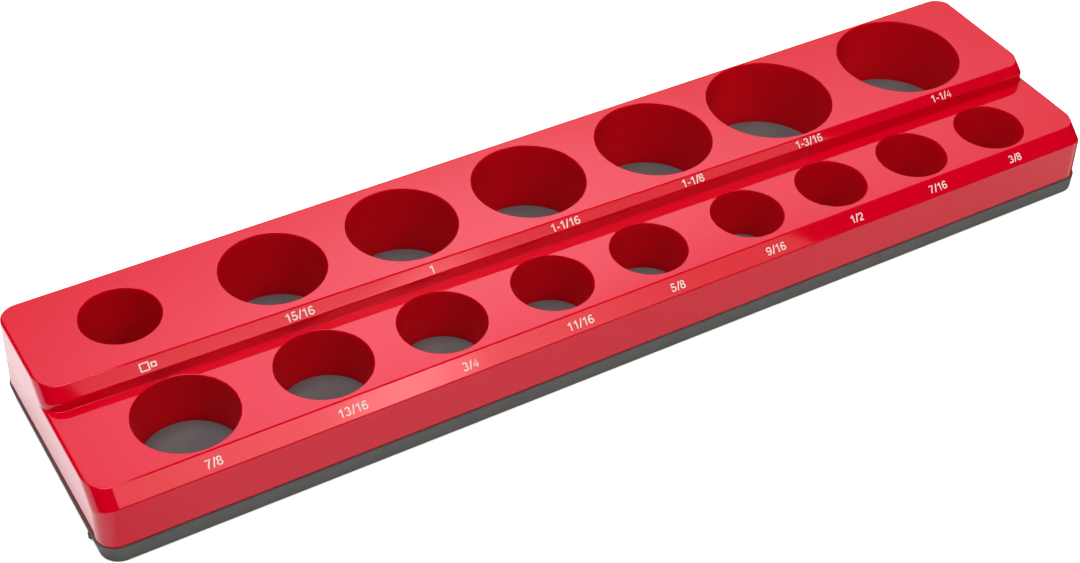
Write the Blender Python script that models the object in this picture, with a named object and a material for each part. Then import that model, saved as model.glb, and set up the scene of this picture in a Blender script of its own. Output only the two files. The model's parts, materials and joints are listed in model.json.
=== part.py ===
# Two-tier magnetic rail for drive sockets: a red moulded housing with sixteen blind bores, a dark tray
# that closes its underside, a magnet below each bore, eight screws and a soft grip pad.
# The rail lies along X, its low tier faces -Y, and it stands on z = 0. Sizes are in metres.
import bpy
import bmesh
from math import atan2, cos, pi, radians, sin, tan

for leftover in list(bpy.data.objects):
    bpy.data.objects.remove(leftover, do_unlink=True)

# Length of the red housing; its depth and height follow from the bores
rail_length = 0.37018

# Bores of the front row, left to right
bore_7_8 = 0.0327
bore_13_16 = 0.0307
bore_3_4 = 0.02865
bore_11_16 = 0.0268
bore_5_8 = 0.02585
bore_9_16 = 0.0248
bore_1_2 = 0.0247
bore_7_16 = 0.0247
bore_3_8 = 0.0246

# Bores of the back row, left to right
bore_adapter = 0.0256
bore_15_16 = 0.0345
bore_1 = 0.0367
bore_1_1_16 = 0.0385
bore_1_1_8 = 0.0406
bore_1_3_16 = 0.0445
bore_1_1_4 = 0.0445

# How each row shares out the length that its bores leave, from end to end
front_land_shares = (2.09, 1.33, 1.11, 1.22, 1.02, 1.38, 1.0, 1.0, 1.0, 1.91)
back_land_shares = (2.09, 2.02, 1.02, 1.0, 0.995, 0.59, 1.30, 1.71)

# Where each bore's centre lies across its deck, from the deck's front edge to its back edge
front_seat_shares = (0.504, 0.497, 0.491, 0.485, 0.479, 0.473, 0.468, 0.462, 0.457)
back_seat_shares = (0.509, 0.472, 0.480, 0.489, 0.496, 0.498, 0.503)

# Decks: depth of the bores, land in front of and behind them, sloping strips for the size marks
front_bore_depth = 0.0192
back_bore_depth = 0.0260
front_left_margin = 0.0011
front_right_margin = 0.0024
back_margin = 0.00115
front_strip_run = 0.0050
front_strip_drop = 0.0045
step_strip_run = 0.0037
step_strip_drop = 0.0032

# Housing walls
corner_radius = 0.0066
housing_wall = 0.0022
deck_wall = 0.0024
tube_wall = 0.0017
rib_wall = 0.0014
wall_draft_angle = radians(1.3)
touch_gap = 0.0003

# Tray
skirt_stands_proud = 0.0004
skirt_draw_in = 0.0005
skirt_wall = 0.0024
floor_rise = 0.0007
seat_rise = 0.0003
floor_wall = 0.0018
ring_wall = 0.0012
tray_rib_wall = 0.0012
gate_stub_radius = 0.0009
gate_stub_height = 0.0022
gate_stub_inset = 0.0137

# Grip pad
pad_thickness = 0.0012
pad_stands_below = 0.0004

# Magnets: small discs below the bores that are narrower than the limit, large ones below the others
small_magnet_radius = 0.0090
large_magnet_radius = 0.0125
large_magnet_bore = 0.0300
magnet_thickness = 0.0030
magnet_edge = 0.0003

# Screws and their bosses
screw_length = 0.0120
screw_radius = 0.0015
screw_point = 0.0025
screw_head_radius = 0.0029
screw_head_height = 0.0020
screw_slot_length = 0.0030
screw_slot_width = 0.0007
screw_slot_depth = 0.0010
boss_wall = 0.0017
corner_screw_inset = 0.0092

# Bores are cut past the faces that they open in
overrun = 0.0010

bore_segments = 36
corner_segments = 6
ring_segments = 20
screw_segments = 12

front_bores = (bore_7_8, bore_13_16, bore_3_4, bore_11_16, bore_5_8)
front_bores += (bore_9_16, bore_1_2, bore_7_16, bore_3_8)
back_bores = (bore_adapter, bore_15_16, bore_1, bore_1_1_16, bore_1_1_8, bore_1_3_16, bore_1_1_4)
front_names = ("7_8", "13_16", "3_4", "11_16", "5_8", "9_16", "1_2", "7_16", "3_8")
back_names = ("adapter", "15_16", "1", "1_1_16", "1_1_8", "1_3_16", "1_1_4")

# Heights
skirt_bottom = pad_stands_below
ring_bottom = pad_thickness + touch_gap
plate_underside = ring_bottom + magnet_thickness + touch_gap
floor_height = plate_underside + floor_wall
seam_height = floor_height - floor_rise
wall_bottom = seam_height + touch_gap
plateau_height = floor_height - seat_rise
tube_bottom = plateau_height + touch_gap
front_deck = floor_height + front_bore_depth
back_deck = floor_height + back_bore_depth

# Plan: each deck is as deep as its bores need
half_length = rail_length / 2
front_band_left = front_bores[0] + 2 * front_left_margin
front_band_right = front_bores[-1] + 2 * front_right_margin
back_band_right = max(back_bores) + 2 * back_margin
deck_depth = front_strip_run + front_band_right + step_strip_run + back_band_right
front_face = -deck_depth / 2
back_face = deck_depth / 2
front_deck_edge = front_face + front_strip_run
draft = tan(wall_draft_angle)


def row_places(bores, shares):
    """Centres along X of a row of bores, with the free length shared out between them."""
    land = (rail_length - sum(bores)) / sum(shares)
    places = []
    edge = -half_length
    for bore, share in zip(bores, shares):
        edge += land * share
        places.append(edge + bore / 2)
        edge += bore
    return places


front_places = row_places(front_bores, front_land_shares)
back_places = row_places(back_bores, back_land_shares)
step_slant = (front_band_right - front_band_left) / (front_places[-1] - front_places[0])


def step_face(x):
    """Y of the wall between the tiers, which runs at a slant so that wide bores get a wide deck."""
    return front_deck_edge + front_band_left + step_slant * (x - front_places[0])


def step_deck_edge(x):
    return step_face(x) + step_strip_run


front_seats = []
for place, share in zip(front_places, front_seat_shares):
    band = step_face(place) - front_deck_edge
    front_seats.append((place, front_deck_edge + band * share))

back_seats = []
for place, share in zip(back_places, back_seat_shares):
    band = back_face - step_deck_edge(place)
    back_seats.append((place, step_deck_edge(place) + band * share))

names = front_names + back_names
bores = front_bores + back_bores
seats = front_seats + back_seats
magnet_radii = [large_magnet_radius if bore > large_magnet_bore else small_magnet_radius for bore in bores]

# Screws: one at each corner, and four along the step where the bores leave room
screw_x = half_length - corner_screw_inset
screw_y = back_face - corner_screw_inset
screw_places = [(side * screw_x, end * screw_y) for side in (-1, 1) for end in (-1, 1)]
for left, right in ((0, 1), (2, 3), (4, 5), (5, 6)):
    middle = (back_places[left] + back_bores[left] / 2 + back_places[right] - back_bores[right] / 2) / 2
    screw_places.append((middle, step_deck_edge(middle)))
screw_seat = plate_underside - touch_gap
screw_tip = screw_seat + screw_length
pilot_radius = screw_radius + touch_gap
boss_radius = pilot_radius + boss_wall
head_pocket_radius = screw_head_radius + touch_gap


def moulding(name, colour, roughness, metallic=0.0):
    material = bpy.data.materials.new(name)
    material.use_nodes = True
    shader = material.node_tree.nodes["Principled BSDF"]
    shader.inputs["Base Color"].default_value = (*colour, 1)
    shader.inputs["Roughness"].default_value = roughness
    shader.inputs["Metallic"].default_value = metallic
    return material


red_plastic = moulding("red_gloss_abs", (0.60, 0.012, 0.022), 0.2)
grey_plastic = moulding("dark_grey_plastic", (0.085, 0.078, 0.070), 0.5)
ferrite = moulding("nickel_plated_magnet", (0.55, 0.54, 0.52), 0.3, 1.0)
screw_steel = moulding("zinc_plated_steel", (0.60, 0.60, 0.58), 0.35, 1.0)
soft_pad = moulding("black_foam_rubber", (0.02, 0.02, 0.02), 0.9)


def add_object(name, mesh, material=None):
    """Adds a mesh as one object. Without a material it is a cutter, which is not part of the rail."""
    mesh.shade_smooth()
    mesh.set_sharp_from_angle(angle=radians(30))
    piece = bpy.data.objects.new(name, mesh)
    bpy.context.scene.collection.objects.link(piece)
    if material:
        mesh.materials.append(material)
    else:
        piece.hide_render = True
        piece.display_type = "WIRE"
    return piece


def loft(name, rings, material=None):
    """Skins rings of equal point counts, in order, and closes both ends."""
    mesh = bpy.data.meshes.new(name)
    build = bmesh.new()
    rows = [[build.verts.new(point) for point in ring] for ring in rings]
    count = len(rows[0])
    for first, second in zip(rows, rows[1:]):
        for i in range(count):
            build.faces.new((first[i], first[(i + 1) % count], second[(i + 1) % count], second[i]))
    build.faces.new(list(reversed(rows[0])))
    build.faces.new(rows[-1])
    bmesh.ops.recalc_face_normals(build, faces=build.faces)
    build.to_mesh(mesh)
    build.free()
    return add_object(name, mesh, material)


def round_rods(name, rods, segments):
    """One cutter of separate upright cylinders, each given as x, y, radius, bottom and top."""
    mesh = bpy.data.meshes.new(name)
    build = bmesh.new()
    for x, y, radius, bottom, top in rods:
        turn = [2 * pi * i / segments for i in range(segments)]
        low = [build.verts.new((x + radius * cos(a), y + radius * sin(a), bottom)) for a in turn]
        high = [build.verts.new((x + radius * cos(a), y + radius * sin(a), top)) for a in turn]
        for i in range(segments):
            j = (i + 1) % segments
            build.faces.new((low[i], low[j], high[j], high[i]))
        build.faces.new(list(reversed(low)))
        build.faces.new(high)
    build.to_mesh(mesh)
    build.free()
    return add_object(name, mesh)


def boxes(name, blocks):
    """One cutter of separate boxes, each given by its low and high corners."""
    mesh = bpy.data.meshes.new(name)
    build = bmesh.new()
    for low, high in blocks:
        made = bmesh.ops.create_cube(build, size=1)["verts"]
        for vert in made:
            vert.co = [low[i] if vert.co[i] < 0 else high[i] for i in range(3)]
    bmesh.ops.recalc_face_normals(build, faces=build.faces)
    build.to_mesh(mesh)
    build.free()
    return add_object(name, mesh)


def combine(piece, tool, operation):
    change = piece.modifiers.new(tool.name, "BOOLEAN")
    change.operation = operation
    change.solver = "EXACT"
    change.object = tool


def strip_points(foot_y, deck, run, drop, inset):
    """Foot and top of a sloping strip whose planes are moved inwards by the inset."""
    angle = atan2(drop, run)
    foot_z = deck[0] - drop + inset * (tan(angle) - 1 / cos(angle))
    top_y = foot_y + (deck[1] - deck[0] + drop + inset / cos(angle)) / tan(angle)
    return (foot_y + inset, foot_z), (top_y, deck[1])


def housing_section(x, inset, deck_drop, bottom):
    """Outline across the housing at x, its side faces moved in by the inset and its decks down."""
    front_top = (front_deck, front_deck - deck_drop)
    back_top = (back_deck, back_deck - deck_drop)
    front_foot, front_edge = strip_points(front_face, front_top, front_strip_run, front_strip_drop, inset)
    step = step_face(x)
    step_foot, step_edge = strip_points(step, back_top, step_strip_run, step_strip_drop, inset)
    front_low = front_face + inset - draft * (front_foot[1] - bottom)
    back_low = back_face - inset + draft * (back_top[1] - bottom)
    outline = [(front_low, bottom), front_foot, front_edge, (step + inset, front_top[1]), step_foot]
    outline += [step_edge, (back_face - inset, back_top[1]), (back_low, bottom)]
    return [(x * (1 - draft * (z - seam_height) / half_length), y, z) for y, z in outline]


def housing_form(name, wall, deck_drop, bottom, material=None):
    """The stepped body with rounded ends, as its outer skin or as the hollow inside a wall."""
    radius = corner_radius - wall
    stations = []
    for i in range(corner_segments + 1):
        angle = pi / 2 * i / corner_segments
        stations.append((half_length - wall - radius * (1 - cos(angle)), wall + radius * (1 - sin(angle))))
    rings = [housing_section(-x, inset, deck_drop, bottom) for x, inset in stations]
    rings += [housing_section(x, inset, deck_drop, bottom) for x, inset in reversed(stations)]
    return loft(name, rings, material)


def rounded_ring(half_x, half_y, radius, z):
    """A rounded rectangle, as a ring of points at one height."""
    ring = []
    for start, side_x, side_y in ((0, 1, 1), (1, -1, 1), (2, -1, -1), (3, 1, -1)):
        for i in range(corner_segments + 1):
            angle = pi / 2 * (start + i / corner_segments)
            centre_x = side_x * (half_x - radius)
            centre_y = side_y * (half_y - radius)
            ring.append((centre_x + radius * cos(angle), centre_y + radius * sin(angle), z))
    return ring


# Top housing: the outer form less a hollow, which leaves out the socket tubes, bosses and ribs
top_housing = housing_form("top_housing", 0, 0, wall_bottom, red_plastic)
hollow = housing_form("housing_hollow", housing_wall, deck_wall, wall_bottom - overrun)

posts = [(x, y, bore / 2 + tube_wall, tube_bottom, back_deck) for (x, y), bore in zip(seats, bores)]
combine(hollow, round_rods("socket_tubes", posts, bore_segments), "DIFFERENCE")
posts = [(x, y, boss_radius, tube_bottom, back_deck) for x, y in screw_places]
combine(hollow, round_rods("screw_bosses", posts, screw_segments), "DIFFERENCE")

rib_low = tube_bottom + front_bore_depth / 2
ribs = []
for left, right in zip(range(len(front_bores)), range(1, len(front_bores))):
    gap_start = front_places[left] + front_bores[left] / 2
    gap_end = front_places[right] - front_bores[right] / 2
    middle = (gap_start + gap_end) / 2
    low = (middle - rib_wall / 2, front_face, rib_low)
    ribs.append((low, (middle + rib_wall / 2, step_face(middle), back_deck)))
combine(hollow, boxes("deck_ribs", ribs), "DIFFERENCE")
combine(top_housing, hollow, "DIFFERENCE")

rods = [(x, y, bore / 2, wall_bottom - overrun, back_deck + overrun) for (x, y), bore in zip(seats, bores)]
combine(top_housing, round_rods("socket_bores", rods, bore_segments), "DIFFERENCE")
rods = [(x, y, pilot_radius, wall_bottom - overrun, screw_tip + overrun) for x, y in screw_places]
combine(top_housing, round_rods("screw_pilots", rods, screw_segments), "DIFFERENCE")

# Base tray: a skirt that stands just proud of the red walls, and a plateau that fits inside them
half_depth = back_face + draft * (back_deck - seam_height)
lip_x = half_length + skirt_stands_proud
lip_y = half_depth + skirt_stands_proud
lip_radius = corner_radius + skirt_stands_proud
foot_radius = lip_radius - skirt_draw_in
fit_in = housing_wall + touch_gap
plateau_radius = corner_radius - fit_in
outlines = [
    rounded_ring(lip_x - skirt_draw_in, lip_y - skirt_draw_in, foot_radius, skirt_bottom),
    rounded_ring(lip_x, lip_y, lip_radius, seam_height),
    rounded_ring(half_length - fit_in, half_depth - fit_in, plateau_radius, seam_height),
    rounded_ring(half_length - fit_in, half_depth - fit_in, plateau_radius, plateau_height),
]
base_tray = loft("base_tray", outlines, grey_plastic)

# Floor of each bore: a low disc on the plateau, just smaller than the bore
floor_middle = (plate_underside + plateau_height) / 2
discs = [(x, y, bore / 2 - touch_gap, floor_middle, floor_height) for (x, y), bore in zip(seats, bores)]
combine(base_tray, round_rods("socket_floors", discs, bore_segments), "UNION")

# A stub of the moulding gate stays on the skirt's left end, low down where the skirt draws in
stub_place = (gate_stub_radius - lip_x, gate_stub_inset - lip_y)
stub_low = skirt_bottom + gate_stub_radius / 2
stub = (*stub_place, gate_stub_radius, stub_low, stub_low + gate_stub_height)
combine(base_tray, round_rods("gate_stub", [stub], screw_segments), "UNION")

well_x = lip_x - skirt_draw_in - skirt_wall
well_y = lip_y - skirt_draw_in - skirt_wall
well_radius = foot_radius - skirt_wall
well_levels = (skirt_bottom - overrun, plate_underside)
well = loft("tray_well", [rounded_ring(well_x, well_y, well_radius, z) for z in well_levels])
posts = []
for (x, y), radius in zip(seats, magnet_radii):
    posts.append((x, y, radius + touch_gap + ring_wall, ring_bottom, plate_underside + overrun))
combine(well, round_rods("magnet_rings", posts, ring_segments), "DIFFERENCE")
posts = []
for x, y in screw_places:
    posts.append((x, y, head_pocket_radius + ring_wall, ring_bottom, plate_underside + overrun))
combine(well, round_rods("screw_rings", posts, screw_segments), "DIFFERENCE")

tray_ribs = []
for left, right in zip(range(len(front_bores)), range(1, len(front_bores))):
    middle = (front_places[left] + front_places[right]) / 2
    rib_back = step_face(middle) - head_pocket_radius
    low = (middle - tray_rib_wall / 2, -lip_y, ring_bottom)
    tray_ribs.append((low, (middle + tray_rib_wall / 2, rib_back, plate_underside + overrun)))
combine(well, boxes("tray_ribs", tray_ribs), "DIFFERENCE")
combine(base_tray, well, "DIFFERENCE")

rods = []
for (x, y), radius in zip(seats, magnet_radii):
    rods.append((x, y, radius + touch_gap, skirt_bottom - overrun, plate_underside))
combine(base_tray, round_rods("magnet_pockets", rods, ring_segments), "DIFFERENCE")
rods = [(x, y, head_pocket_radius, skirt_bottom - overrun, plate_underside) for x, y in screw_places]
combine(base_tray, round_rods("head_pockets", rods, screw_segments), "DIFFERENCE")
rods = [(x, y, pilot_radius, plate_underside - overrun, plateau_height + overrun) for x, y in screw_places]
combine(base_tray, round_rods("screw_holes", rods, screw_segments), "DIFFERENCE")

# Grip pad: fills the skirt's inside and stands below it
pad_x = well_x - touch_gap
pad_y = well_y - touch_gap
pad_radius = well_radius - touch_gap
pad_levels = (0, pad_thickness)
loft("grip_pad", [rounded_ring(pad_x, pad_y, pad_radius, z) for z in pad_levels], soft_pad)


def turned(name, place, profile, segments, material):
    """A solid of revolution about an upright axis, from radius and height pairs, low end first."""
    rings = []
    for radius, z in profile:
        turn = [2 * pi * i / segments for i in range(segments)]
        rings.append([(place[0] + radius * cos(a), place[1] + radius * sin(a), z) for a in turn])
    return loft(name, rings, material)


# Magnets: one disc below each socket, glued in its pocket
for name, seat, radius in zip(names, seats, magnet_radii):
    top = plate_underside - touch_gap
    bottom = top - magnet_thickness
    rim = radius - magnet_edge
    profile = ((rim, bottom), (radius, bottom + magnet_edge), (radius, top - magnet_edge), (rim, top))
    turned("magnet_" + name, seat, profile, ring_segments, ferrite)

# Screws: pan heads below the tray's floor plate, points up in the bosses
for number, (x, y) in enumerate(screw_places, start=1):
    head_bottom = screw_seat - screw_head_height
    crown = screw_head_radius * 2 / 3
    tip_radius = screw_radius / 5
    profile = (
        (crown, head_bottom),
        (screw_head_radius, head_bottom + screw_head_height / 2),
        (screw_head_radius, screw_seat),
        (screw_radius, screw_seat),
        (screw_radius, screw_tip - screw_point),
        (tip_radius, screw_tip),
    )
    screw = turned("base_screw_" + str(number), (x, y), profile, screw_segments, screw_steel)
    reach = screw_slot_length / 2
    half_slot = screw_slot_width / 2
    slots = []
    for half_x, half_y in ((reach, half_slot), (half_slot, reach)):
        low = (x - half_x, y - half_y, head_bottom - overrun)
        slots.append((low, (x + half_x, y + half_y, head_bottom + screw_slot_depth)))
    for direction, slot in zip(("along", "across"), slots):
        combine(screw, boxes("slot_" + direction + "_" + str(number), [slot]), "DIFFERENCE")
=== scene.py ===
import bpy
import bmesh
import json
from math import atan2, copysign, cos, hypot, pi, radians, sin, sqrt, tan
from mathutils import Matrix, Vector

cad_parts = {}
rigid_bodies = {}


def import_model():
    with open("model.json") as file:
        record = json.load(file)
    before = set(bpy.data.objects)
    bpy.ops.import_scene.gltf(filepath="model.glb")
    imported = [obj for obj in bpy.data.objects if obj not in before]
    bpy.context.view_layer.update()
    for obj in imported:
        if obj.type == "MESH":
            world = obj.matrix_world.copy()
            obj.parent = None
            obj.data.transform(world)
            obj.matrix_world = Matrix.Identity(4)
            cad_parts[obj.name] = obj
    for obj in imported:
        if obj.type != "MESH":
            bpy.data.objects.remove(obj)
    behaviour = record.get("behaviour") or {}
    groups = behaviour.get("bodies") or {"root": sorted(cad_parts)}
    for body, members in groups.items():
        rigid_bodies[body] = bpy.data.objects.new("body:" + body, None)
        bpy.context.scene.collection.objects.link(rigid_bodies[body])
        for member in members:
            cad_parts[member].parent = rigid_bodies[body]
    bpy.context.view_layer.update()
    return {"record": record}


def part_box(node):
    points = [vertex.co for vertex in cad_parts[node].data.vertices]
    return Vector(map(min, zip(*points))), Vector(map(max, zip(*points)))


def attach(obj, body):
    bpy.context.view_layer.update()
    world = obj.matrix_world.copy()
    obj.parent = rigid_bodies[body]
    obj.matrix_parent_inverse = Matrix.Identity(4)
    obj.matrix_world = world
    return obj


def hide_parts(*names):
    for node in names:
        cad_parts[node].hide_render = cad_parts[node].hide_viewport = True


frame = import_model()

# Top housing
# One hollow injection moulding in glossy red ABS: two decks in steps, a sloping strip before each
# for the size marks, and sixteen round bores. Eight screws from below hold it to the tray.
mm = 0.001
corner_radius = 6.6 * mm
edge_radius = 1.0 * mm
strip_foot_radius = 0.9 * mm
step_foot_radius = 0.35 * mm
mouth_radius = 0.3 * mm
housing_wall = 2.2 * mm
deck_wall = 2.4 * mm
tube_wall = 1.7 * mm
draft = tan(radians(1.3))
far_draft = tan(radians(0.3))
bottom_bevel = 0.22 * mm
front_strip_run = 5.1 * mm
front_strip_drop = 4.6 * mm
step_strip_run = 4.0 * mm
step_strip_drop = 3.46 * mm
step_at_middle = -5.45 * mm
step_turn = radians(-1.041)
front_narrowing = 0.08
step_narrowing = 0.5
step_narrowing_limit = 0.29
arc_steps = 5
middle_spans = 16
fine_segments = 96
plain_segments = 48
small_segments = 24

# Cutting shapes run this far past the faces that they open in
overrun = 1 * mm

# Bore of each socket, under the name that its size mark gives it
bores = {
    "7_8": 32.7 * mm,
    "13_16": 30.7 * mm,
    "3_4": 28.65 * mm,
    "11_16": 26.8 * mm,
    "5_8": 25.85 * mm,
    "9_16": 24.8 * mm,
    "1_2": 24.7 * mm,
    "7_16": 24.7 * mm,
    "3_8": 24.6 * mm,
    "adapter": 25.6 * mm,
    "15_16": 34.5 * mm,
    "1": 36.7 * mm,
    "1_1_16": 38.5 * mm,
    "1_1_8": 40.6 * mm,
    "1_3_16": 44.5 * mm,
    "1_1_4": 44.5 * mm,
}

seats = {}
for mount in frame["record"]["mounts"]:
    if mount["name"].startswith("seat_"):
        seats[mount["name"].removeprefix("seat_")] = Vector(mount["pos_m"])

decks = {}
for opening in frame["record"]["physics"]["openings"]:
    decks[opening["name"].removeprefix("bore_")] = opening["box_m"][1][2]

housing_low, housing_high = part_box("top_housing")
bottom = housing_low.z
back_deck = housing_high.z
front_deck = decks["7_8"]
half_length = housing_high.x
front_face = housing_low.y + draft * (front_deck - front_strip_drop - bottom - bottom_bevel)
back_face = housing_high.y - far_draft * (back_deck - bottom)


def step_face(x):
    """Y of the wall between the tiers, which runs at a slight slant."""
    return step_at_middle + tan(step_turn) * x


def strip_sizes(x):
    """Run and drop of both sloping strips at x. They narrow to the right, the step's the most."""
    from_left = 0.5 + x / half_length / 2
    front = 1 - front_narrowing * from_left
    step = 1 - min(step_narrowing * from_left, step_narrowing_limit)
    front_strip = (front_strip_run * front, front_strip_drop * front)
    return front_strip, (step_strip_run * step, step_strip_drop * step)


def strip_ends(foot_y, deck, run, drop, inset):
    """Foot and top of a sloping strip whose plane is moved inwards by the inset."""
    angle = atan2(drop, run)
    foot_z = deck[0] - drop + inset * (tan(angle) - 1 / cos(angle))
    top_y = foot_y + (deck[1] - deck[0] + drop + inset / cos(angle)) / tan(angle)
    return (foot_y + inset, foot_z), (top_y, deck[1])


def housing_outline(x, inset, sink):
    """Corners of the cross-section at x, its sides moved in by the inset and its decks sunk."""
    front_top = (front_deck, front_deck - sink)
    back_top = (back_deck, back_deck - sink)
    front_strip, step_strip = strip_sizes(x)
    front_foot, front_edge = strip_ends(front_face, front_top, *front_strip, inset)
    wall = step_face(x)
    step_foot, step_edge = strip_ends(wall, back_top, *step_strip, inset)
    above = bottom + bottom_bevel
    front_low = front_face + inset - draft * (front_foot[1] - above)
    back_low = back_face - inset + far_draft * (back_top[1] - above)
    outline = [(front_low + bottom_bevel, bottom), (front_low, above), front_foot, front_edge]
    outline += [(wall + inset, front_top[1]), step_foot, step_edge]
    outline += [(back_face - inset, back_top[1]), (back_low, above)]
    outline += [(back_low - bottom_bevel, bottom)]
    return [Vector((x, y, z)) for y, z in outline]


def round_corners(outline, radii, steps):
    """Puts an arc of its own radius at each corner of an outline, all with equal point counts."""
    rounded = []
    for i, (corner, radius) in enumerate(zip(outline, radii)):
        if not radius:
            rounded.append(corner)
            continue
        back = (outline[i - 1] - corner).normalized()
        ahead = (outline[(i + 1) % len(outline)] - corner).normalized()
        half_turn = back.angle(ahead) / 2
        centre = corner + (back + ahead).normalized() * radius / sin(half_turn)
        first = (corner + back * radius / tan(half_turn) - centre).normalized()
        last = (corner + ahead * radius / tan(half_turn) - centre).normalized()
        rounded += [centre + first.slerp(last, step / steps) * radius for step in range(steps + 1)]
    return rounded


def skin(name, *lofts):
    """One mesh of closed lofts, each of them a list of rings with equal point counts, in order."""
    mesh = bpy.data.meshes.new(name)
    build = bmesh.new()
    for rings in lofts:
        rows = [[build.verts.new(point) for point in ring] for ring in rings]
        count = len(rows[0])
        for first, second in zip(rows, rows[1:]):
            for i in range(count):
                after = (i + 1) % count
                build.faces.new((first[i], first[after], second[after], second[i]))
        build.faces.new(list(reversed(rows[0])))
        build.faces.new(rows[-1])
    bmesh.ops.recalc_face_normals(build, faces=build.faces)
    build.to_mesh(mesh)
    build.free()
    piece = bpy.data.objects.new(name, mesh)
    bpy.context.scene.collection.objects.link(piece)
    return piece


def housing_form(name, wall, sink, low, rounding, steps):
    """The stepped body with rounded ends: its outer skin, or the hollow a wall inside it."""
    radius = corner_radius - wall
    edge = edge_radius if rounding else 0
    strip_foot = strip_foot_radius if rounding else 0
    step_foot = step_foot_radius if rounding else 0
    radii = (0, 0, strip_foot, edge, step_foot, strip_foot, edge, edge, 0, 0)
    end = half_length - wall
    stations = []
    for i in range(steps + 1):
        angle = pi / 2 * i / steps
        from_end = radius * (1 - cos(angle))
        into_edge = max(0, 1 - from_end / edge) if edge else 0
        drop = sink + edge * (1 - sqrt(1 - into_edge**2))
        stations.append((end - from_end, wall + radius * (1 - sin(angle)), drop))
    middle = []
    for i in range(1, middle_spans):
        middle.append(((end - radius) * (1 - 2 * i / middle_spans), wall, sink))
    far_end = [(-x, inset, drop) for x, inset, drop in reversed(stations)]
    rings = []
    for x, inset, drop in stations + middle + far_end:
        lean = (draft if x < 0 else far_draft) * x / end
        tucked_x = x - copysign(bottom_bevel, x) * max(0, 1 - (end - abs(x)) / radius)
        ring = []
        for point in round_corners(housing_outline(x, inset, drop), radii, arc_steps):
            if point.z == bottom:
                ring.append(Vector((tucked_x, point.y, low)))
            else:
                leaning_x = point.x - lean * (point.z - bottom)
                ring.append(Vector((leaning_x, point.y, point.z)))
        rings.append(ring)
    return skin(name, rings)


def turned(name, rods, segments):
    """Upright turned rods in one mesh, each given by its centre and pairs of radius and height."""
    lofts = []
    for centre, profile in rods:
        rings = []
        for radius, z in profile:
            ring = []
            for i in range(segments):
                angle = 2 * pi * i / segments
                ring.append((centre.x + radius * cos(angle), centre.y + radius * sin(angle), z))
            rings.append(ring)
        lofts.append(rings)
    return skin(name, *lofts)


def bars(name, blocks):
    """Square-cornered bars in one mesh, each given by its low and its high corner."""
    lofts = []
    for low, high in blocks:
        corners = [(low[0], low[1]), (high[0], low[1]), (high[0], high[1]), (low[0], high[1])]
        lofts.append([[(x, y, z) for x, y in corners] for z in (low[2], high[2])])
    return skin(name, *lofts)


def combine(piece, tool, operation):
    """Joins the tool to the piece or cuts it out of it, and leaves a plain mesh."""
    change = piece.modifiers.new(operation, "BOOLEAN")
    change.operation = operation
    change.solver = "EXACT"
    change.object = tool
    shape = bpy.context.evaluated_depsgraph_get()
    piece.data = bpy.data.meshes.new_from_object(piece.evaluated_get(shape))
    piece.modifiers.clear()
    bpy.data.objects.remove(tool)


def dress(piece, material, slot, *nodes):
    """Gives a piece its material, its place on the part and the solids that it stands for."""
    piece.data.materials.clear()
    piece.data.materials.append(material)
    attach(piece, "root")
    if nodes:
        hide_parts(*nodes)


def smooth(piece, sharp_angle=35):
    """Smooth shading in which the large flat faces stay flat and the small ones carry the curve."""
    piece.data.shade_smooth()
    piece.data.set_sharp_from_angle(angle=radians(sharp_angle))
    weighting = piece.modifiers.new("flat_faces_lead", "WEIGHTED_NORMAL")
    weighting.keep_sharp = True


def add_node(material, kind, inputs=(), **settings):
    """Adds a node with its settings. A socket takes a number, a colour or another node's output."""
    made = material.node_tree.nodes.new(kind)
    for name, value in settings.items():
        setattr(made, name, value)
    for socket, value in dict(inputs).items():
        if isinstance(value, bpy.types.NodeSocket):
            material.node_tree.links.new(value, made.inputs[socket])
        else:
            made.inputs[socket].default_value = value
    return made


def linear(hex_colour):
    """An sRGB hex colour as linear red, green, blue and alpha."""
    parts = [int(hex_colour[i : i + 2], 16) / 255 for i in (1, 3, 5)]
    return tuple(p / 12.92 if p <= 0.04045 else ((p + 0.055) / 1.055) ** 2.4 for p in parts) + (1,)


# ABS moulded in a polished tool: saturated red and near mirror gloss. The faint waves of a moulded
# face ruffle the edges of what it reflects, and a few cells of the speck pattern hold dust.
red_abs = bpy.data.materials.new("red_abs_polished_moulding")
red_abs.use_nodes = True
wave_length = 9 * mm
speck_spacing = 9 * mm
clean_share = 0.55
speck_growth = 0.05
place = add_node(red_abs, "ShaderNodeTexCoord").outputs["Object"]
waves = add_node(
    red_abs,
    "ShaderNodeTexNoise",
    {"Vector": place, "Scale": 1 / wave_length, "Detail": 4},
)
specks = add_node(
    red_abs,
    "ShaderNodeTexVoronoi",
    {"Vector": place, "Scale": 1 / speck_spacing, "Randomness": 1},
)
speck_size = add_node(
    red_abs,
    "ShaderNodeMath",
    {0: specks.outputs["Color"], 1: clean_share},
    operation="SUBTRACT",
)
speck_radius = add_node(
    red_abs,
    "ShaderNodeMath",
    {0: speck_size.outputs[0], 1: speck_growth},
    operation="MULTIPLY",
)
speck = add_node(
    red_abs,
    "ShaderNodeMath",
    {0: specks.outputs["Distance"], 1: speck_radius.outputs[0]},
    operation="LESS_THAN",
)
tint = add_node(
    red_abs,
    "ShaderNodeMix",
    {"Factor": waves.outputs["Fac"], "A": linear("#E1011F"), "B": linear("#E60227")},
    data_type="RGBA",
)
shade = add_node(
    red_abs,
    "ShaderNodeMix",
    {"Factor": speck.outputs[0], "A": tint.outputs["Result"], "B": linear("#F0909A")},
    data_type="RGBA",
)
ripple = add_node(
    red_abs,
    "ShaderNodeBump",
    {"Height": waves.outputs["Fac"], "Distance": 0.01 * mm, "Strength": 1.0},
)
gloss = red_abs.node_tree.nodes["Principled BSDF"]
red_abs.node_tree.links.new(shade.outputs["Result"], gloss.inputs["Base Color"])
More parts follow.
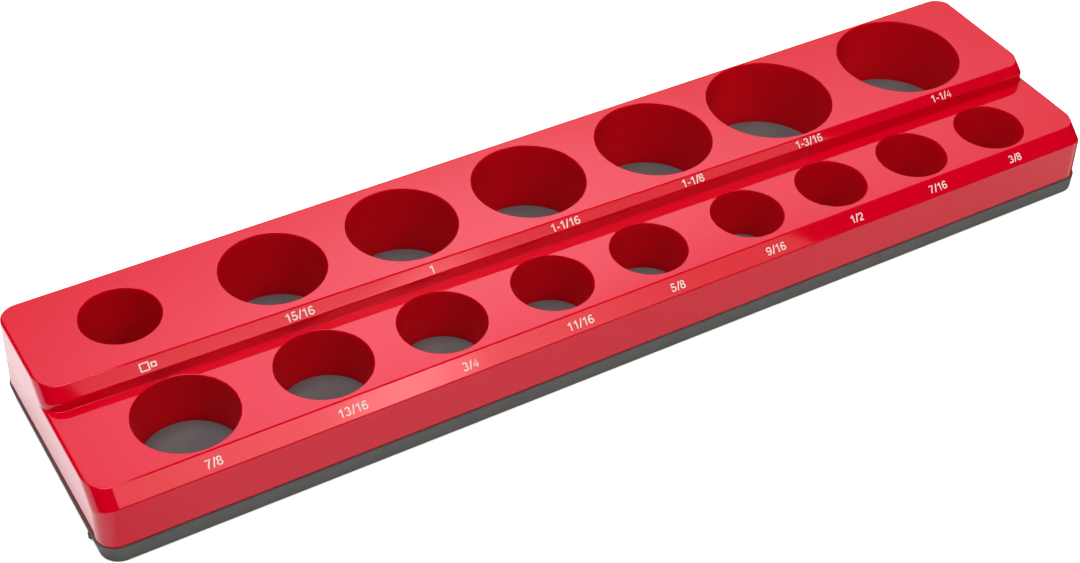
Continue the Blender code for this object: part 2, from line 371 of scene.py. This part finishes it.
red_abs.node_tree.links.new(ripple.outputs["Normal"], gloss.inputs["Normal"])
gloss.inputs["Roughness"].default_value = 0.04
gloss.inputs["IOR"].default_value = 1.52
gloss.inputs["Specular Tint"].default_value = linear("#FFAFCB")

# Screws come up from the tray into the bosses, and ribs between the bores stiffen the front deck
screws = []
for number in range(1, 9):
    low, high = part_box("base_screw_" + str(number))
    screws.append((low + high) / 2)
pilot_radius = 1.8 * mm
boss_radius = 3.5 * mm
screw_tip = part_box("base_screw_1")[1].z
rib_wall = 1.4 * mm
rib_low = 16.2 * mm

housing = housing_form("red_housing", 0, 0, bottom, rounding=True, steps=18)
low_end = bottom - overrun
hollow = housing_form("hollow", housing_wall, deck_wall, low_end, rounding=False, steps=6)
tubes = [(seats[name], bore / 2 + tube_wall) for name, bore in bores.items()]
tubes += [(screw, boss_radius) for screw in screws]
below = bottom - 2 * overrun
rods = [(centre, ((radius, below), (radius, back_deck))) for centre, radius in tubes]
combine(hollow, turned("tubes", rods, plain_segments), "DIFFERENCE")
front_row = list(bores)[:9]
ribs = []
for left, right in zip(front_row, front_row[1:]):
    between = (seats[left].x + bores[left] / 2 + seats[right].x - bores[right] / 2) / 2
    low = (between - rib_wall / 2, front_face, rib_low)
    ribs.append((low, (between + rib_wall / 2, step_face(between), back_deck)))
combine(hollow, bars("deck_ribs", ribs), "DIFFERENCE")
combine(housing, hollow, "DIFFERENCE")
pilot = ((pilot_radius, low_end), (pilot_radius, screw_tip + overrun))
pilots = turned("screw_pilots", [(screw, pilot) for screw in screws], small_segments)
combine(housing, pilots, "DIFFERENCE")

mouth_angles = [radians(20) * step for step in range(5)]
mouths = []
for name, bore in bores.items():
    radius = bore / 2
    deck = decks[name]
    profile = [(radius, low_end)]
    for angle in mouth_angles:
        rim_radius = radius + mouth_radius * (1 - cos(angle))
        profile.append((rim_radius, deck - mouth_radius * (1 - sin(angle))))
    profile.append((radius + 3 * mouth_radius, deck + mouth_radius / 2))
    mouths.append((seats[name], profile))
combine(housing, turned("socket_bores", mouths, fine_segments), "DIFFERENCE")
smooth(housing)
dress(housing, red_abs, "red_plastic", "top_housing")

# The bores are moulded on sandblasted cores: the same red ABS, but dull, so that no reflection
# breaks up their walls. At the mouth some light comes through and draws a bright crescent.
bore_abs = bpy.data.materials.new("red_abs_sandblasted_core")
bore_abs.use_nodes = True
grit_size = 0.3 * mm
light_reach = 3 * mm
upright = 0.3
place = add_node(bore_abs, "ShaderNodeTexCoord").outputs["Object"]
grit = add_node(
    bore_abs,
    "ShaderNodeTexNoise",
    {"Vector": place, "Scale": 1 / grit_size, "Detail": 2},
)
tint = add_node(
    bore_abs,
    "ShaderNodeMix",
    {"Factor": grit.outputs["Fac"], "A": linear("#E3001B"), "B": linear("#E90022")},
    data_type="RGBA",
)
pits = add_node(bore_abs, "ShaderNodeBump", {"Height": grit.outputs["Fac"], "Distance": 0.01 * mm})
dull = bore_abs.node_tree.nodes["Principled BSDF"]
bore_abs.node_tree.links.new(tint.outputs["Result"], dull.inputs["Base Color"])
bore_abs.node_tree.links.new(pits.outputs["Normal"], dull.inputs["Normal"])
dull.inputs["Roughness"].default_value = 0.5
dull.inputs["IOR"].default_value = 1.52
dull.inputs["Specular IOR Level"].default_value = 0.15
dull.inputs["Subsurface Weight"].default_value = 0.5
dull.inputs["Subsurface Radius"].default_value = (1, 0.05, 0.05)
dull.inputs["Subsurface Scale"].default_value = light_reach
housing.data.materials.append(bore_abs)
walls = [face for face in housing.data.polygons if abs(face.normal.z) < upright]
for name, bore in bores.items():
    for face in walls:
        if (face.center - seats[name]).xy.length < bore / 2 + mouth_radius / 2:
            face.material_index = 1

# Size marks
# The inch size of each bore in plain white figures, pad printed on the strip in front of the bore.
# The adapter's bore has two squares, the large drive and the small one.
letter_height = 2.72 * mm
letter_spread = 1.11
stroke = 0.38 * mm
ink_film = 0.02 * mm

# Pad-printing ink on plastic: a thin matt white coat, through which the red shows in places
ink = bpy.data.materials.new("white_pad_printing_ink")
ink.use_nodes = True
coat_patch = 0.25 * mm
place = add_node(ink, "ShaderNodeTexCoord").outputs["Object"]
cover = add_node(ink, "ShaderNodeTexNoise", {"Vector": place, "Scale": 1 / coat_patch, "Detail": 3})
tint = add_node(
    ink,
    "ShaderNodeMix",
    {"Factor": cover.outputs["Fac"], "A": linear("#F4E2E2"), "B": linear("#FFFFFF")},
    data_type="RGBA",
)
film = add_node(ink, "ShaderNodeBump", {"Height": cover.outputs["Fac"], "Distance": 0.005 * mm})
coat = ink.node_tree.nodes["Principled BSDF"]
ink.node_tree.links.new(tint.outputs["Result"], coat.inputs["Base Color"])
ink.node_tree.links.new(film.outputs["Normal"], coat.inputs["Normal"])
coat.inputs["Roughness"].default_value = 0.45


def bend(x, y, half_width, half_height, start, end):
    """A stretch of an ellipse as points, between two angles in degrees."""
    count = 2 + abs(end - start) // 15
    turn = [radians(start + (end - start) * i / (count - 1)) for i in range(count)]
    return [(x + half_width * cos(a), y + half_height * sin(a)) for a in turn]


# Each figure's width and the middle lines of its strokes, in shares of its height
two = [bend(0.33, 0.67, 0.24, 0.265, 165, -40) + [(0.09, 0.065)], [(0.07, 0.065), (0.60, 0.065)]]
three = [bend(0.32, 0.715, 0.215, 0.22, 160, -90), bend(0.32, 0.28, 0.25, 0.215, 90, -165)]
five = [[(0.56, 0.935), (0.18, 0.935), (0.11, 0.47)] + bend(0.32, 0.32, 0.26, 0.255, 135, -160)]
six = [bend(0.33, 0.31, 0.255, 0.245, 0, 360), bend(0.37, 0.47, 0.295, 0.465, 50, 195)]
large_square = [(0.065, 0.065), (0.935, 0.065), (0.935, 0.935), (0.065, 0.935), (0.065, 0.0)]
small_square = [(0.065, 0.265), (0.535, 0.265), (0.535, 0.735), (0.065, 0.735), (0.065, 0.2)]
figures = {
    "1": (0.70, [[(0.13, 0.72), (0.31, 0.82), (0.41, 0.98)], [(0.41, 1.0), (0.41, 0.0)]]),
    "2": (0.76, two),
    "3": (0.76, three),
    "4": (0.76, [[(0.46, 0.0), (0.46, 0.95), (0.06, 0.29), (0.63, 0.29)]]),
    "5": (0.76, five),
    "6": (0.76, six),
    "7": (0.74, [[(0.07, 0.935), (0.59, 0.935), (0.42, 0.62), (0.30, 0.32), (0.25, 0.0)]]),
    "8": (0.76, [bend(0.33, 0.73, 0.205, 0.205, 0, 360), bend(0.33, 0.285, 0.25, 0.22, 0, 360)]),
    "9": (0.76, [[(0.66 - x, 1 - y) for x, y in line] for line in six]),
    "/": (0.40, [[(0.03, -0.02), (0.35, 1.02)]]),
    "-": (0.45, [[(0.06, 0.37), (0.38, 0.37)]]),
    "large_drive": (1.15, [large_square]),
    "small_drive": (0.60, [small_square]),
}


def printed_line(points, origin, along, upward, outward):
    """Rings of four corners along a stroke, for a flat ribbon of ink that lies on the plastic."""
    rings = []
    for i, point in enumerate(points):
        here = Vector(point)
        before = here - Vector(points[max(i - 1, 0)])
        after = Vector(points[min(i + 1, len(points) - 1)]) - here
        side = Vector((0, 0))
        for direction in (before, after):
            if direction.length:
                side += Vector((-direction.y, direction.x)).normalized()
        side /= max(side.length_squared / 2, 1) if before.length and after.length else 1
        half = side * stroke / letter_height / 2
        ring = []
        for across, film_side in ((half, 1), (-half, 1), (-half, -1), (half, -1)):
            flat = (here + across) * letter_height
            on_strip = along * flat.x * letter_spread + upward * flat.y
            ring.append(origin + on_strip + outward * ink_film * film_side)
        rings.append(ring)
    return rings


# How far each mark's middle lies to the right of its bore's centre, as on the real rail
mark_offsets = {
    "7_8": 0.3 * mm,
    "13_16": 0.3 * mm,
    "3_4": -0.3 * mm,
    "11_16": -0.45 * mm,
    "5_8": -0.1 * mm,
    "9_16": -0.2 * mm,
    "1_2": -1.4 * mm,
    "7_16": -1.05 * mm,
    "3_8": -1.05 * mm,
    "adapter": -0.3 * mm,
    "15_16": -0.9 * mm,
    "1": -1.0 * mm,
    "1_1_16": 0.2 * mm,
    "1_1_8": 0.2 * mm,
    "1_3_16": -0.65 * mm,
    "1_1_4": -0.5 * mm,
}
up_front_strip = 0.465
up_step_strip = 0.47

for name, offset in mark_offsets.items():
    if name == "adapter":
        signs = ["large_drive", "small_drive"]
    else:
        sizes = name.split("_")
        signs = list("-".join(sizes[:-2] + ["/".join(sizes[-2:])]))
    middle_x = seats[name].x + offset
    front_strip, step_strip = strip_sizes(middle_x)
    if name in front_row:
        run, drop = front_strip
        foot = Vector((middle_x, front_face, front_deck - drop))
        along = Vector((1, 0, 0))
        rise = up_front_strip * hypot(run, drop)
    else:
        run, drop = step_strip
        foot = Vector((middle_x, step_face(middle_x), back_deck - drop))
        along = Vector((cos(step_turn), sin(step_turn), 0))
        rise = up_step_strip * hypot(run, drop)
    upward = Vector((0, run, drop)).normalized()
    outward = along.cross(upward).normalized()
    upward = outward.cross(along)
    width = sum(figures[sign][0] for sign in signs) * letter_height * letter_spread
    corner = foot + upward * (rise - letter_height / 2) - along * width / 2
    ribbons = []
    for sign in signs:
        for points in figures[sign][1]:
            ribbons.append(printed_line(points, corner, along, upward, outward))
        corner = corner + along * figures[sign][0] * letter_height * letter_spread
    mark = skin("mark_" + name, *ribbons)
    dress(mark, ink, "white_ink")

# Base tray
# A dark grey polypropylene moulding closes the housing. Its low discs are the floors of the bores,
# with the magnets' pockets below them. A stub of the moulding gate stays at the left end.
tray_low, tray_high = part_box("base_tray")
skirt_draw_in = 0.5 * mm
foot_shift = 0.4 * mm
skirt_wall = 2.4 * mm
skirt_edge = 0.15 * mm
seat_rise = 0.3 * mm
floor_edge = 0.2 * mm
floor_wall = 1.8 * mm
gap = 0.3 * mm
seam_gap = 0.1 * mm
stands_proud = tray_high.x - half_length
pad_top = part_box("grip_pad")[1].z
seam = bottom - seam_gap
plateau = tray_high.z - seat_rise
plate_underside = tray_high.z - floor_wall


def rounded_ring(half_x, half_y, radius, z, steps=18):
    """A rectangle with round corners, as a ring of points at one height."""
    ring = []
    for quarter, side_x, side_y in ((0, 1, 1), (1, -1, 1), (2, -1, -1), (3, 1, -1)):
        for i in range(steps + 1):
            angle = pi / 2 * (quarter + i / steps)
            x = side_x * (half_x - radius) + radius * cos(angle)
            ring.append((x, side_y * (half_y - radius) + radius * sin(angle), z))
    return ring


def skirt_ring(inset, z, shift=0):
    """Outline of the tray at one height, moved along X by the shift that its foot has."""
    radius = corner_radius + stands_proud - inset
    ring = rounded_ring(tray_high.x - inset, tray_high.y - inset, radius, z)
    return [(x + shift, y, z) for x, y, z in ring]


foot = tray_low.z
edge_angles = [radians(22.5) * step for step in range(5)]
levels = []
for angle in edge_angles:
    inset = skirt_draw_in + skirt_edge * (1 - sin(angle))
    levels.append(skirt_ring(inset, foot + skirt_edge * (1 - cos(angle)), foot_shift))
for angle in edge_angles:
    inset = skirt_edge * (1 - cos(angle))
    levels.append(skirt_ring(inset, seam - skirt_edge * (1 - sin(angle))))
fit_in = stands_proud + housing_wall + gap
levels += [skirt_ring(fit_in, seam), skirt_ring(fit_in, plateau)]
tray = skin("grey_tray", levels)

floors = []
for name, bore in bores.items():
    radius = bore / 2 - gap
    top = tray_high.z
    disc = [(radius, plate_underside + overrun), (radius, top - floor_edge)]
    floors.append((seats[name], disc + [(radius - floor_edge, top)]))
combine(tray, turned("socket_floors", floors, fine_segments), "UNION")

stub_radius = 0.9 * mm
stub_height = 1.8 * mm
stub_inset = 13.7 * mm
stub_place = Vector((tray_low.x + stub_radius, tray_low.y + stub_inset, 0))
stub_low = foot + stub_radius / 2
stub = (stub_place, ((stub_radius, stub_low), (stub_radius, stub_low + stub_height)))
combine(tray, turned("gate_stub", [stub], small_segments), "UNION")

well_inset = skirt_draw_in + skirt_wall
well = skin("tray_well", [skirt_ring(well_inset, z) for z in (foot - overrun, plate_underside)])
ring_wall = 1.2 * mm
ring_low = pad_top + gap
pockets = []
for name in bores:
    low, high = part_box("magnet_" + name)
    pockets.append((seats[name], (high.x - low.x) / 2 + gap))
screw_pocket = 3.2 * mm
pockets += [(screw, screw_pocket) for screw in screws]
collar_top = plate_underside + overrun
collars = []
for centre, radius in pockets:
    around = radius + ring_wall
    collars.append((centre, ((around, ring_low), (around, collar_top))))
combine(well, turned("pocket_collars", collars, plain_segments), "DIFFERENCE")
ribs = []
for left, right in zip(front_row, front_row[1:]):
    middle = (seats[left].x + seats[right].x) / 2
    low = (middle - ring_wall / 2, tray_low.y, ring_low)
    ribs.append((low, (middle + ring_wall / 2, step_face(middle) - screw_pocket, collar_top)))
combine(well, bars("tray_ribs", ribs), "DIFFERENCE")
combine(tray, well, "DIFFERENCE")
holes = []
for centre, radius in pockets:
    holes.append((centre, ((radius, foot - overrun), (radius, plate_underside))))
combine(tray, turned("pockets", holes, plain_segments), "DIFFERENCE")
hole = ((pilot_radius, plate_underside - overrun), (pilot_radius, plateau + overrun))
holes = turned("screw_holes", [(screw, hole) for screw in screws], small_segments)
combine(tray, holes, "DIFFERENCE")
smooth(tray)

# Polypropylene moulded in a spark-eroded tool: matt dark grey, with a fine grain and a slight cloud
grey_pp = bpy.data.materials.new("grey_polypropylene_spark_eroded")
grey_pp.use_nodes = True
grain_size = 0.35 * mm
cloud_size = 14 * mm
place = add_node(grey_pp, "ShaderNodeTexCoord").outputs["Object"]
grain = add_node(
    grey_pp,
    "ShaderNodeTexNoise",
    {"Vector": place, "Scale": 1 / grain_size, "Detail": 3},
)
cloud = add_node(
    grey_pp,
    "ShaderNodeTexNoise",
    {"Vector": place, "Scale": 1 / cloud_size, "Detail": 2},
)
mottle = add_node(
    grey_pp,
    "ShaderNodeMath",
    {0: grain.outputs["Fac"], 1: cloud.outputs["Fac"]},
    operation="MULTIPLY",
)
tint = add_node(
    grey_pp,
    "ShaderNodeMix",
    {"Factor": mottle.outputs[0], "A": linear("#5A5B5D"), "B": linear("#7A7C7D")},
    data_type="RGBA",
)
pits = add_node(grey_pp, "ShaderNodeBump", {"Height": grain.outputs["Fac"], "Distance": 0.02 * mm})
sheen = add_node(
    grey_pp,
    "ShaderNodeMapRange",
    {"Value": grain.outputs["Fac"], "To Min": 0.6, "To Max": 0.75},
)
matt = grey_pp.node_tree.nodes["Principled BSDF"]
grey_pp.node_tree.links.new(tint.outputs["Result"], matt.inputs["Base Color"])
grey_pp.node_tree.links.new(pits.outputs["Normal"], matt.inputs["Normal"])
grey_pp.node_tree.links.new(sheen.outputs["Result"], matt.inputs["Roughness"])
matt.inputs["IOR"].default_value = 1.49
matt.inputs["Specular IOR Level"].default_value = 0.35
dress(tray, grey_pp, "grey_plastic", "base_tray")

# Magnets
# Sixteen pressed and sintered discs, ground flat and nickel plated. They are glued into the tray's
# pockets from below, each under the floor of its bore, and the grip pad covers them.

# Nickel plating over a ground magnet: a soft warm metal shine, slightly cloudy
nickel = bpy.data.materials.new("nickel_plated_magnet")
nickel.use_nodes = True
plating_cloud = 3 * mm
place = add_node(nickel, "ShaderNodeTexCoord").outputs["Object"]
cloud = add_node(
    nickel,
    "ShaderNodeTexNoise",
    {"Vector": place, "Scale": 1 / plating_cloud, "Detail": 4},
)
tint = add_node(
    nickel,
    "ShaderNodeMix",
    {"Factor": cloud.outputs["Fac"], "A": linear("#B4AEA2"), "B": linear("#CFCAC0")},
    data_type="RGBA",
)
sheen = add_node(
    nickel,
    "ShaderNodeMapRange",
    {"Value": cloud.outputs["Fac"], "To Min": 0.2, "To Max": 0.35},
)
pits = add_node(nickel, "ShaderNodeBump", {"Height": cloud.outputs["Fac"], "Distance": 0.01 * mm})
plating = nickel.node_tree.nodes["Principled BSDF"]
nickel.node_tree.links.new(tint.outputs["Result"], plating.inputs["Base Color"])
nickel.node_tree.links.new(sheen.outputs["Result"], plating.inputs["Roughness"])
nickel.node_tree.links.new(pits.outputs["Normal"], plating.inputs["Normal"])
plating.inputs["Metallic"].default_value = 1
for name in bores:
    bpy.data.objects["magnet_" + name].material_slots[0].material = nickel

# Screws
# Eight self-tapping screws of cold-headed, zinc plated steel, with pan heads and cross recesses.
# They go up through the tray into the housing's bosses, with their heads sunk above the pad.

# Zinc plating on rolled steel: bright bluish grey, with fine tumbling scratches
zinc = bpy.data.materials.new("zinc_plated_screw_steel")
zinc.use_nodes = True
scratch_width = 0.2 * mm
place = add_node(zinc, "ShaderNodeTexCoord").outputs["Object"]
scratches = add_node(
    zinc,
    "ShaderNodeTexNoise",
    {"Vector": place, "Scale": 1 / scratch_width, "Detail": 2},
)
tint = add_node(
    zinc,
    "ShaderNodeMix",
    {"Factor": scratches.outputs["Fac"], "A": linear("#A9ABAB"), "B": linear("#CDD0D1")},
    data_type="RGBA",
)
sheen = add_node(
    zinc,
    "ShaderNodeMapRange",
    {"Value": scratches.outputs["Fac"], "To Min": 0.28, "To Max": 0.45},
)
steel = zinc.node_tree.nodes["Principled BSDF"]
zinc.node_tree.links.new(tint.outputs["Result"], steel.inputs["Base Color"])
zinc.node_tree.links.new(sheen.outputs["Result"], steel.inputs["Roughness"])
steel.inputs["Metallic"].default_value = 1
for number in range(1, 9):
    bpy.data.objects["base_screw_" + str(number)].material_slots[0].material = zinc

# Grip pad
# A die-cut sheet of black foam rubber, glued inside the skirt. It hides the magnets and keeps the
# rail from sliding. The fine dark line under the grey band is the floor's shadow there, deepened by
# painted contact shadow.
pad_low, pad_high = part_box("grip_pad")
pad_edge = 0.25 * mm
pad_radius = corner_radius + stands_proud - well_inset - gap
rings = []
for inset, z in ((pad_edge, pad_low.z), (0, pad_low.z + pad_edge), (0, pad_high.z)):
    rings.append(rounded_ring(pad_high.x - inset, pad_high.y - inset, pad_radius - inset, z))
pad = skin("rubber_pad", rings)
smooth(pad)

# Foam rubber cut from sheet: black, dull, with the fine open cells that a cut through foam leaves
foam = bpy.data.materials.new("black_foam_rubber_sheet")
foam.use_nodes = True
cell_size = 0.8 * mm
place = add_node(foam, "ShaderNodeTexCoord").outputs["Object"]
cells = add_node(foam, "ShaderNodeTexVoronoi", {"Vector": place, "Scale": 1 / cell_size})
tint = add_node(
    foam,
    "ShaderNodeMix",
    {"Factor": cells.outputs["Distance"], "A": linear("#1B1A19"), "B": linear("#34322F")},
    data_type="RGBA",
)
pits = add_node(foam, "ShaderNodeBump", {"Height": cells.outputs["Distance"], "Distance": 0.1 * mm})
rubber = foam.node_tree.nodes["Principled BSDF"]
foam.node_tree.links.new(tint.outputs["Result"], rubber.inputs["Base Color"])
foam.node_tree.links.new(pits.outputs["Normal"], rubber.inputs["Normal"])
rubber.inputs["Roughness"].default_value = 0.9
dress(pad, foam, "pad_rubber", "grip_pad")

# Studio floor
# A sweep of matt white paper that ends in the white background and holds the rail's soft shadow,
# with a painted contact shadow under the tray's edge. In the glossy plastic the paper shows a
# painted reflection: pale in front of the rail and at its left, and dark elsewhere.
floor_mesh = bpy.data.meshes.new("floor")
reach = 4.0
floor_corners = [(-reach, -reach, 0), (reach, -reach, 0), (reach, reach, 0), (-reach, reach, 0)]
floor_mesh.from_pydata(floor_corners, [], [(0, 1, 2, 3)])
floor = bpy.data.objects.new("floor", floor_mesh)
bpy.context.scene.collection.objects.link(floor)

# White paper: dull, without any shine of its own. For the camera its glow lifts it to white; for
# glossy rays the glow is a painted reflection that changes along X.
painted_reflection_reach = 0.25
rail_corner = (0.1855, 0.0437, 0)
pale_reflection_radius = 0.56
shadow_reach = 4 * mm
paper = bpy.data.materials.new("white_paper_with_painted_reflection")
paper.use_nodes = True
floor_mesh.materials.append(paper)
sheet = paper.node_tree.nodes["Principled BSDF"]
sheet.inputs["Roughness"].default_value = 0.9
sheet.inputs["Specular IOR Level"].default_value = 0
ray = add_node(paper, "ShaderNodeLightPath")
place = add_node(paper, "ShaderNodeTexCoord").outputs["Object"]
to_right = add_node(paper, "ShaderNodeSeparateXYZ", {"Vector": place}).outputs["X"]
share = add_node(
    paper,
    "ShaderNodeMapRange",
    {"Value": to_right, "From Min": -painted_reflection_reach, "From Max": painted_reflection_reach},
)
# Painted reflection: the glow that glossy rays see changes along X by these stops
painted_reflection_ramp = add_node(paper, "ShaderNodeValToRGB", {"Fac": share.outputs["Result"]})
painted_reflection_stops = painted_reflection_ramp.color_ramp.elements
painted_reflection_stops[0].position = 0.12
painted_reflection_stops[0].color = (0.82, 0.82, 0.82, 1)
painted_reflection_stops[1].position = 0.90
painted_reflection_stops[1].color = (0.36, 0.36, 0.36, 1)
for position, value in ((0.134, 0.15), (0.20, 0.50), (0.32, 0.44), (0.52, 0.30), (0.78, 0.28)):
    painted_reflection_stops.new(position).color = (value, value, value, 1)

# Painted reflection: for glossy rays the paper glows pale only near the rail's front and left side.
# Elsewhere glossy rays see it near black, a painted dark reflection, which gives the edges that
# face that way a thin dark line.
from_corner = add_node(paper, "ShaderNodeVectorMath", {0: place, 1: rail_corner})
sides = add_node(paper, "ShaderNodeSeparateXYZ", {"Vector": from_corner.outputs[0]})
behind = add_node(
    paper,
    "ShaderNodeMath",
    {0: sides.outputs["X"], 1: sides.outputs["Y"]},
    operation="MINIMUM",
)
from_middle = add_node(paper, "ShaderNodeVectorMath", {0: place}, operation="LENGTH")
beyond = add_node(
    paper,
    "ShaderNodeMath",
    {0: from_middle.outputs["Value"], 1: pale_reflection_radius},
    operation="SUBTRACT",
)
outside_pale_reflection = add_node(
    paper,
    "ShaderNodeMath",
    {0: behind.outputs[0], 1: beyond.outputs[0]},
    operation="MAXIMUM",
)
pale_reflection_zone = add_node(
    paper,
    "ShaderNodeMath",
    {0: outside_pale_reflection.outputs[0], 1: 0.0},
    operation="LESS_THAN",
)
# Painted dark reflection: outside the pale zone, glossy rays see the paper near black
dark_reflection_zone = add_node(
    paper,
    "ShaderNodeMath",
    {0: outside_pale_reflection.outputs[0], 1: 0.0},
    operation="GREATER_THAN",
)
painted_dark_reflection_mask = add_node(
    paper,
    "ShaderNodeMath",
    {0: dark_reflection_zone.outputs[0], 1: ray.outputs["Is Glossy Ray"]},
    operation="MULTIPLY",
)
paper_colour_and_painted_dark_reflection = add_node(
    paper,
    "ShaderNodeMix",
    {"Factor": painted_dark_reflection_mask.outputs[0], "A": linear("#F4F4F4"), "B": linear("#0A0A0A")},
    data_type="RGBA",
)
paper.node_tree.links.new(paper_colour_and_painted_dark_reflection.outputs["Result"], sheet.inputs["Base Color"])
# Painted reflection: the ramp's glow, seen by glossy rays only inside the pale zone
pale_zone_painted_reflection = add_node(
    paper,
    "ShaderNodeMath",
    {0: pale_reflection_zone.outputs[0], 1: painted_reflection_ramp.outputs["Color"]},
    operation="MULTIPLY",
)
painted_reflection_glow = add_node(
    paper,
    "ShaderNodeMath",
    {0: ray.outputs["Is Glossy Ray"], 1: pale_zone_painted_reflection.outputs[0]},
    operation="MULTIPLY",
)
# Painted contact shadow: the camera's white lift fades to nothing where ambient occlusion finds the
# tray's edge close over the paper, so a dark line shows under the grey band
contact_ao = add_node(paper, "ShaderNodeAmbientOcclusion", {"Distance": shadow_reach})
lift_with_painted_contact_shadow = add_node(
    paper,
    "ShaderNodeMapRange",
    {"Value": contact_ao.outputs["AO"], "From Min": 0.15, "From Max": 0.4, "To Max": 0.72},
)
backdrop_lift_and_painted_reflection = add_node(
    paper,
    "ShaderNodeMath",
    {0: ray.outputs["Is Camera Ray"], 1: lift_with_painted_contact_shadow.outputs["Result"], 2: painted_reflection_glow.outputs[0]},
    operation="MULTIPLY_ADD",
)
sheet.inputs["Emission Color"].default_value = (1, 1, 1, 1)
paper.node_tree.links.new(backdrop_lift_and_painted_reflection.outputs[0], sheet.inputs["Emission Strength"])

# Studio light
# A softbox behind the rail and one in two parts in front of it, to the right, show as broad pale
# reflections on the decks and the strips. One overhead and a dim fill light the plastic evenly.
fill_light = 0.18
world = bpy.data.worlds.new("white_studio")
bpy.context.scene.world = world
world.use_nodes = True
sky = world.node_tree.nodes["Background"]
sky.inputs["Color"].default_value = (1, 1, 1, 1)
sky_ray = add_node(world, "ShaderNodeLightPath")
fill = add_node(
    world,
    "ShaderNodeMath",
    {0: sky_ray.outputs["Is Diffuse Ray"], 1: fill_light},
    operation="MULTIPLY",
)
backdrop = add_node(
    world,
    "ShaderNodeMath",
    {0: sky_ray.outputs["Is Camera Ray"], 1: fill.outputs[0]},
    operation="MAXIMUM",
)
world.node_tree.links.new(backdrop.outputs[0], sky.inputs["Strength"])


def softbox(name, place, turn, width, height, colour, rim, glows=()):
    """An area light with an even glow at its rim and brighter spots in it. Each spot has a centre,
    half sizes, a tilt and a peak."""
    lamp = bpy.data.lights.new(name, "AREA")
    lamp.shape = "RECTANGLE"
    lamp.color = linear(colour)[:3]
    lamp.size = width
    lamp.size_y = height
    # At this power the lamp shines as bright as its emission strength says
    lamp.energy = pi * width * height
    lamp.use_nodes = True
    spot = add_node(lamp, "ShaderNodeNewGeometry").outputs["Position"]
    total = rim
    for centre, half_sizes, tilt, peak in glows:
        inside = add_node(
            lamp,
            "ShaderNodeMapping",
            {"Vector": spot, "Location": centre, "Rotation": (0, tilt, 0), "Scale": half_sizes},
            vector_type="TEXTURE",
        )
        from_centre = add_node(
            lamp,
            "ShaderNodeVectorMath",
            {0: inside.outputs[0]},
            operation="LENGTH",
        )
        glow = add_node(
            lamp,
            "ShaderNodeMapRange",
            {"Value": from_centre.outputs["Value"], "To Min": peak, "To Max": 0},
            interpolation_type="SMOOTHSTEP",
        )
        total = add_node(lamp, "ShaderNodeMath", {0: glow.outputs["Result"], 1: total}).outputs[0]
    emission = lamp.node_tree.nodes["Emission"]
    if glows:
        lamp.node_tree.links.new(total, emission.inputs["Strength"])
    else:
        emission.inputs["Strength"].default_value = rim
    box = bpy.data.objects.new(name, lamp)
    box.location = place
    box.rotation_euler = turn
    box.visible_camera = False
    bpy.context.scene.collection.objects.link(box)


to_front = (pi / 2, 0, pi)
to_back = (pi / 2, 0, 0)
downwards = (0, 0, 0)
neutral = "#FFFFFF"
warm = "#FFFDDD"
back_glow = ((0.30, 0.85, 0.93), (0.52, 1, 0.34), 0, 2.4)
back_side_glow = ((0.71, 0.85, 0.885), (0.61, 1, 0.21), radians(-12), 1.3)
wide_glow = ((0.25, -0.80, 0.885), (0.42, 1, 0.43), 0, 3.8)
bulb_glow = ((0.301, -0.80, 0.90), (0.09, 1, 0.50), radians(22.8), 6.2)
back_glows = (back_glow, back_side_glow)
front_glows = (wide_glow, bulb_glow)
softbox("back_softbox", (0.50, 0.85, 0.92), to_front, 1.6, 0.85, neutral, 0.95, back_glows)
softbox("front_softbox_low", (0.365, -0.80, 0.845), to_back, 0.73, 0.33, warm, 2.1, front_glows)
softbox("front_softbox_high", (0.445, -0.80, 1.17), to_back, 0.87, 0.32, warm, 1.9, front_glows)
softbox("overhead_softbox", (-0.30, 0, 1.5), downwards, 0.78, 0.9, neutral, 6.1)

# Camera
# A long lens, above the left front corner and turned to the right, at the place that the fit to the
# photograph's bores and edges gives. The small shift is that of the cropped picture.
lens_view = bpy.data.cameras.new("camera")
camera = bpy.data.objects.new("camera", lens_view)
bpy.context.scene.collection.objects.link(camera)
bpy.context.scene.camera = camera
right = Vector((0.85959799, -0.51008898, 0.03000884))
up = Vector((0.31695756, 0.57835693, 0.7516922))
aim = Matrix((right, up, right.cross(up))).transposed()
lens_point = (-0.27412, -0.42708, 0.44452)
camera.matrix_world = Matrix.Translation(lens_point) @ aim.to_4x4()
lens_view.sensor_width = 36
lens_view.lens = 66.12
lens_view.shift_x = -0.0240
lens_view.shift_y = -0.0018
bpy.context.scene.view_settings.view_transform = "Standard"
